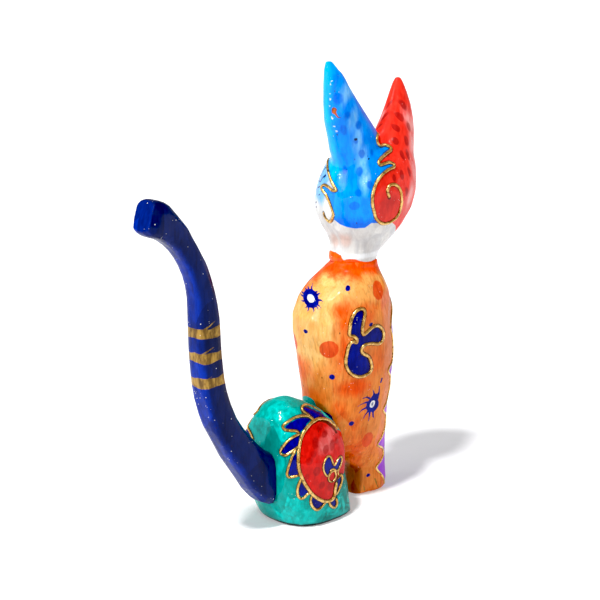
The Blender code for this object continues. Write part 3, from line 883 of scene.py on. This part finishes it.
BLUE_DABS = [(104, 214.2, 1.3, 2.8), (111, 205.8, 0.9, 1.8), (121, 200.3, 1.3, 2.2),
    (108, 198.5, 1.2, 2.6), (119, 192.6, 1, 1.4), (126, 185.9, 1.7, 2.3), (124, 177.4, 1.7, 2.3),
    (124, 167.1, 1.5, 1.8), (120, 160.4, 2.5, 2.2), (142, 186.2, 1.2, 1.5), (106, 177.9, 1.4, 2.2),
    (137, 170.9, 1.5, 2.2), (64, 200, 1.3, 2.6), (48, 192, 1.5, 2.4), (74, 212, 1.1, 2.3),
    (82, 190, 1.4, 2.6)]
RED_DABS = [(226, 207.6, 1.3, 2.8), (217, 201.8, 1.6, 2.5), (224, 196.6, 1.2, 2.6), (206, 196.6, 1.8, 2),
    (215, 189.7, 1.4, 2.7), (198, 190.3, 1.9, 2), (203, 183.1, 1.6, 2.6), (214, 182.6, 1.3, 2.8),
    (189, 173.8, 1.7, 2.5), (206, 174.5, 1.3, 2.5), (196, 164.8, 1.5, 2.4), (173, 173.1, 1.4, 1.9),
    (232, 181, 1.4, 2.4), (248, 176, 1.6, 2.4), (228, 169, 1.5, 2.5), (262, 188, 1.6, 2.6),
    (250, 163, 1.6, 2.4), (232, 158, 1.6, 2.4), (272, 198, 1.3, 2.6), (292, 196, 1.5, 2.6)]
COLLAR_TOP = [(20, 128), (45, 131.6), (70, 134), (89, 134.2), (100, 133.2), (103.5, 131), (111, 131.9),
    (118, 131.9), (126, 130.6), (135, 129.4), (146, 128)]
EAR_RIDGE = [(100.5, 226), (99, 214), (100.5, 203), (102, 198)]
EYE = dict(turn=33.0, z=171.0, half=(5.8, 3.2), tilt=12.0)
BLUE_HAZE = [(108, 216.5, 1.6), (116, 203.2, 2.2), (121, 193.1, 2.8), (127, 182.8, 3.6),
    (131, 173.3, 3.4)]
RED_HAZE = [(228, 199), (226, 188), (218, 176), (209, 162)]
PITS = [(119, 193.4, 0.8, 0.6), (136, 183.2, 0.7, 0.5), (134, 184.4, 0.4, 0.4), (108, 178, 0.4, 0.3)]
NOSE = [(-3.2, 162), (0, 162.8), (3.2, 162), (1.3, 158.6), (0, 157.8), (-1.3, 158.6)]
BROW_CURL = [(0, 188), (3, 184.6), (-3, 181), (3, 177.4), (0, 173.6)]
# Brush strokes behind the eye: lashes, then whisker dashes, each with its half-width.
CHEEK_STROKES = [
    ([(73, 178.4), (68, 176.6), (63, 173.2)], 0.65), ([(77, 173.6), (72, 172.4), (68, 170)], 0.6),
    ([(69, 167.4), (64, 166.6), (60, 165)], 0.5), ([(62, 158.8), (54, 157.8)], 0.5),
    ([(61, 156.2), (53, 155.2)], 0.5), ([(73, 163.8), (69, 163)], 0.4)]


def mirrored(points):
    return [(360 - a, z) for a, z in points]


def paint_head(c):
    p = c.around_head(-90.0)         # the chart for the blue half, then the red one, then the face
    q = c.around_head(90.0)
    w = c.around_head(-180.0)
    jag = list(spline(on_head(JAG[:JAG_EDGE]), 1.0))
    cheek = BROW + CHEEK[:CHEEK_EDGE]
    over = 245.0            # a height above the ears
    blue = [*spline(on_head(cheek), 1.0), *on_head(BLUE_LOW), *jag[::-1],
            *on_head([(169, over), (0, over)])]
    red = [*jag, *on_head(RED_LOW), *spline(on_head(mirrored(cheek)[::-1]), 1.0),
           *on_head([(360, over), (169, over)])]
    haze = [blob(p, (a * HEAD_ARC, h), (r, 8.0)) for a, h, r in BLUE_HAZE]
    rose = [blob(q, (a * HEAD_ARC, h), (3.6, 8.0)) for a, h in RED_HAZE]
    cheeks = [blob(w, (a * HEAD_ARC, 170), (12.0, 11.0)) for a in (-60, 60)]
    # Painted highlight: pale specks along the blue ear's ridge, where the light catches it.
    worn = np.exp(-(sd_line(p, spline(on_head(EAR_RIDGE), 1.0), 0.0) / 0.7) ** 2)
    light_until = 104 * HEAD_ARC
    c.note(
        blue=sd_shape(p, blue), red=sd_shape(q, red),
        dabs_blue=ovals(p, BLUE_DABS, HEAD_ARC, 6), dabs_red=ovals(q, RED_DABS, HEAD_ARC, 8),
        collar=sd_shape(p, on_head([(20, 120)] + COLLAR_TOP + [(146, 120)])),
        soft_haze=np.maximum.reduce(haze), soft_rose=np.maximum.reduce(rose),
        soft_worn=worn * np.clip(c.speckle(800.0) * 1.9, 0, 0.6),
        soft_low_blue=between(p[:, 1], 160, 150),
        soft_light=between(p[:, 0], light_until, light_until - 4) * between(p[:, 1], 165, 177),
        soft_deep=np.maximum(blob(q, (160 * HEAD_ARC, 160.0), (9.0, 10.0)),
                             blob(p, (118 * HEAD_ARC, 154.0), (13.0, 7.0))),
        soft_cheek=np.maximum.reduce(cheeks),
        soft_beige=np.maximum(blob(p, (104 * HEAD_ARC, 141.5), (5.0, 4.5)),
                              blob(p, (84 * HEAD_ARC, 140.0), (5.0, 4.0))),
        # Painted light: a whiter band round the neck, where the light falls on it.
        soft_band=np.clip(1.0 - np.abs(p[:, 1] - 133.0) / 2.6, 0, 1),
        chip=union(sd_oval(p, (101.5 * HEAD_ARC, 208.4), (0.7, 1.5)),
                   sd_line(p, on_head([(102.5, 206.8), (104, 205.0), (106, 204.7)]), 0.28)),
        pits=ovals(p, PITS, HEAD_ARC),
        # Painted shade along the foot of the crest and face lines.
        groove=union(groove(p, [(on_head(JAG), False)], 0.8),
                     groove(p, [(on_head(BROW + CHEEK), False)], 0.72)))
    face_marks(c, w)


def raise_ridge(c):
    """A knife-left edge up the blue ear, sharp enough to catch the light."""
    p = c.around_head(-90.0)
    away = sd_line(p, spline(on_head(EAR_RIDGE), 1.0), 0.0)
    c.co += c.no * (0.5 * MM * np.exp(-(away / 0.9) ** 2))[:, None]
    c.write()


def face_marks(c, p):
    """Eyes with lashes, nose, mouth and whiskers: a plain painted cat face, alike on both sides."""
    white, iris, dark = (np.full(len(p), FAR) for _ in range(3))
    for side in (1, -1):
        centre = (side * EYE["turn"] * HEAD_ARC, EYE["z"])
        tilt = side * EYE["tilt"]
        eye = sd_oval(p, centre, EYE["half"], tilt)
        white = union(white, eye)
        iris = union(iris, sd_oval(p, centre, (2.6, 2.8)))
        dark = union(dark, sd_oval(p, centre, (0.9, 2.4)), np.abs(eye) - 0.45)
        for k in range(5):
            rise = math.radians(-14 + 15 * k)
            start = (side * (EYE["turn"] + 13.0 - 0.8 * k) * HEAD_ARC, EYE["z"] + 1.0 + 0.8 * k)
            reach = 9.4 - 0.9 * k
            end = (start[0] + side * math.cos(rise) * reach, start[1] + math.sin(rise) * reach)
            middle = ((start[0] + end[0]) / 2, (start[1] + end[1]) / 2 - 0.9)
            dark = union(dark, sd_line(p, [start, middle, end], 0.6, 0.2))
        for k in range(5):
            start = (side * (48 + 2.5 * (k % 2)) * HEAD_ARC, 164.4 - 2.3 * k)
            end = (start[0] + side * 3.6, start[1] + 0.7 - 0.5 * k)
            dark = union(dark, sd_line(p, [start, end], 0.42, 0.16))
        for stroke, width in CHEEK_STROKES:
            dark = union(dark, sd_line(p, [(side * a * HEAD_ARC, z) for a, z in stroke], width, 0.2))
        dark = union(dark, sd_line(p, spline([(0, 155.4), (side * 1.8, 152.6), (side * 4.8, 151.8),
                                             (side * 7.6, 153.6)], 0.8), 0.46, 0.2))
        for k in range(3):
            dark = union(dark, sd_oval(p, (side * (3.8 + 2.0 * k), 156.6 - 0.6 * (k % 2)), (0.42, 0.42)))
    nose = sd_shape(p, NOSE)
    dark = union(dark, np.abs(nose) - 0.3, sd_line(p, [(0, 157.8), (0, 155.2)], 0.4))
    c.note(eye_white=white, iris=iris, dark=dark, nose=nose)


head = Carving("head")
height = head.co[:, 2] / MM
head.melt(between(height, 160, 166) * between(height, 187, 184), 70)
head.facets(90, 0.55, 14, 8)
raise_ridge(head)
head.uneven(0.13)
paint_head(head)
settle(head, painted(
    "head_paint", ((228, 228, 225), (208, 209, 210)),
    [("soft_beige", ((226, 188, 172), (214, 178, 162)), 0.7, 0.85),
     # Painted light round the neck.
     ("soft_band", ((252, 254, 255), (244, 247, 250)), 0.6, 1.0),
     ("soft_cheek", ((4, 152, 240), (66, 190, 246)), 0.4, 1.0),
     ("blue", ((0, 148, 252), (0, 128, 244)), 0.16, 1.0),
     ("red", ((242, 58, 42), (226, 44, 32)), 0.16, 1.0),
     # Painted shade beside the raised gold lines.
     ("groove", ((60, 36, 24), (34, 24, 24)), 0.2, 0.75),
     ("dabs_blue", ((0, 100, 224), (0, 92, 216)), 0.4, 0.7),
     ("dabs_red", ((164, 26, 26), (150, 22, 24)), 0.4, 0.75),
     ("collar", ((248, 104, 28), (240, 80, 14)), 0.15, 1.0),
     ("eye_white", ((246, 240, 214), (238, 232, 206)), 0.13, 1.0),
     ("iris", ((236, 178, 30), (220, 150, 20)), 0.13, 1.0),
     ("nose", ((226, 110, 120), (210, 90, 104)), 0.13, 1.0),
     ("dark", ((10, 20, 96), (8, 14, 76)), 0.13, 1.0),
     # Painted highlight along the blue ear's ridge.
     ("soft_worn", ((236, 244, 250), (220, 232, 244)), 0.3, 0.8),
     ("chip", ((196, 96, 40), (60, 26, 12)), 0.1, 1.0),
     ("pits", ((20, 16, 30), (14, 12, 26)), 0.1, 0.9)], masks={
         "blue": [("soft_low_blue", ((0, 112, 240), (0, 98, 228)), 0.8, 0.9),
                  ("soft_light", ((0, 186, 255), (0, 168, 255)), 0.8, 0.9),
                  ("soft_haze", ((140, 206, 252), (96, 186, 254)), 0.9, 0.8)],
         "red": [("soft_deep", ((206, 44, 38), (190, 34, 30)), 0.8, 0.7),
                 ("soft_rose", ((240, 164, 160), (236, 120, 116)), 0.8, 0.85)]},
    coat=0.5, grain=0.10, patches=(75.0, (186, 186, 186), 0.3)))

# ---- tail ----
TAIL_BANDS = [(111.7, 2.4), (99.8, 2.3), (87, 2.5)]
TAIL_STRAYS = [[(-82, 113.4), (-78.6, 115.2), (-75.6, 117.4)], [(-82.2, 101.6), (-79.2, 103.4),
    (-76.6, 104.6)], [(-79.6, 89), (-77.6, 90.6)]]


def paint_tail(c):
    d = c.from_foot()
    p, seen = c.flank(1)
    ripple = c.speckle(170.0) * 0.75
    lean = (d[:, 0] - 115.0) * 0.05
    bands = union(*(np.abs(d[:, 2] + lean - z) - half for z, half in TAIL_BANDS)) + ripple
    strays = union(*(sd_line(p, path, 0.42, 0.16) for path in TAIL_STRAYS)) + np.where(seen, 0, FAR)
    c.note(gold=union(bands, strays),
           # Painted light: lighter cobalt on the faces turned towards the light, the dark base on the
           # others.
           soft_cobalt=np.clip(c.no[:, 0] * 0.9 - c.no[:, 1] * 0.25 + 0.25, 0, 1))


tail = Carving("tail", relax=1)
tail.facets(130, 0.5, 15, 11)
tail.uneven(0.12)
paint_tail(tail)
settle(tail, painted(
    "tail_paint", ((10, 30, 96), (6, 22, 78)),
    # Painted light on the faces turned towards the light.
    [("soft_cobalt", ((2, 50, 172), (2, 38, 142)), 0.8, 0.85),
     ("gold", ((184, 146, 66), (112, 84, 34)), 0.14, 0.95)],
    roughness=0.40, coat=0.3, specks=1.0, metal="gold", speck_rarity=0.55,
    patches=(60.0, (4, 14, 58), 0.5)))

# ---- gold lines ----
gold = gold_paste("gold_paste")
torso_tree, haunch_tree, head_tree = torso.tree(), haunch.tree(), head.tree()
for side, label in ((1, "right"), (-1, "left")):
    ring = Beads(f"{label}_thigh_outline", f"{label}_thigh_bead", f"{label}_thigh_bead")
    ring.on_flank(haunch_tree, RING, side)
    ring.done(gold)
    petals = Beads(f"{label}_petal_outlines", f"{label}_thigh_bead")
    for _, line in PETALS:
        petals.on_flank(haunch_tree, spread(line, side), side, half=PETAL_HALF, rise=0.6)
    for line in (THIGH_SPRIG, THIGH_LOOP):
        petals.on_flank(haunch_tree, line, side, closed=True, half=SPRIG_HALF, rise=0.45)
    petals.on_flank(haunch_tree, THIGH_STEM, side, half=0.5, rise=0.45)
    petals.done(gold)
    flank = Beads(f"{label}_flank_outline", f"{label}_flank_bead", f"{label}_flank_bead")
    flank.on_flank(torso_tree, FLANK_MOTIF, side, closed=True)
    flank.done(gold)
    chest = Beads(f"{label}_chest_outline", f"{label}_flank_bead")
    chest.round_chest(torso_tree, CHEST_EDGE, side, middle_of_torso, half=0.66, rise=0.55)
    chest.done(gold)

crest = Beads("crest_outline", "crest_bead", "crest_bead")
crest.round_head(head_tree, JAG, half=0.8)
crest.done(gold)
face = Beads("face_outlines", "crest_bead")
for line in (BROW + CHEEK, mirrored(BROW + CHEEK)):
    face.round_head(head_tree, line, half=0.72, rise=0.62)
face.round_head(head_tree, BROW_CURL, half=0.7, rise=0.6)
face.done(gold)

for node in ("neck_dowel", "left_seat_dowel", "right_seat_dowel", "tail_dowel"):
    obj = frame["nodes"][node]
    obj.data.materials.clear()
    obj.data.materials.append(bare_wood(node + "_wood"))

# ---- floor, light and camera ----
bm = bmesh.new()
bmesh.ops.create_grid(bm, x_segments=2, y_segments=2, size=30.0)
floor_mesh = bpy.data.meshes.new("floor")
bm.to_mesh(floor_mesh)
bm.free()
floor = add("floor", floor_mesh)
n = Nodes("floor_paper")
n.set(Base_Color=(0.74, 0.74, 0.75, 1), Roughness=0.9, Specular_IOR_Level=0.1,
      Emission_Color=(0.98, 0.99, 1.0, 1), Emission_Strength=0.27)
floor_mesh.materials.append(n.mat)


def sun(name, azimuth, elevation, softness, strength):
    """A soft distant light that comes from the given direction."""
    data = bpy.data.lights.new(name, "SUN")
    data.energy, data.angle = strength, math.radians(softness)
    face_from(add(name, data), outward(azimuth, elevation))


sun("key", 102.5, 65.0, 6.0, 3.6)
sun("glint_right", 152.0, 24.0, 2.0, 0.32)
sun("glint_left", 64.0, 20.0, 2.0, 0.32)
sun("window", 80.0, 22.0, 25.0, 0.8)
BLACK_POINT = 0.018         # the darkest tone of the picture, in linear light
world = bpy.data.worlds.new("studio")
world.use_nodes = True
world.node_tree.nodes["Background"].inputs[0].default_value = (1.0, 1.0, 1.0, 1)
world.node_tree.nodes["Background"].inputs[1].default_value = 0.34
bpy.context.scene.world = world
view = bpy.context.scene.view_settings
view.view_transform = "Standard"
view.use_curve_mapping = True
view.curve_mapping.black_level = (BLACK_POINT,) * 3
view.curve_mapping.update()

CAMERA_AZIMUTH, CAMERA_ELEVATION, CAMERA_DISTANCE, CAMERA_LENS = 135.0, 15.0, 0.820, 90.3
CAMERA_TARGET = FOOT + Vector((7.6, -43.2, 97.9)) * MM
back = outward(CAMERA_AZIMUTH, CAMERA_ELEVATION)
camera_data = bpy.data.cameras.new("camera")
camera_data.lens, camera_data.sensor_width, camera_data.clip_start = CAMERA_LENS, 36.0, 0.01
camera = add("camera", camera_data)
camera.location = CAMERA_TARGET + back * CAMERA_DISTANCE
face_from(camera, back)
bpy.context.scene.camera = camera
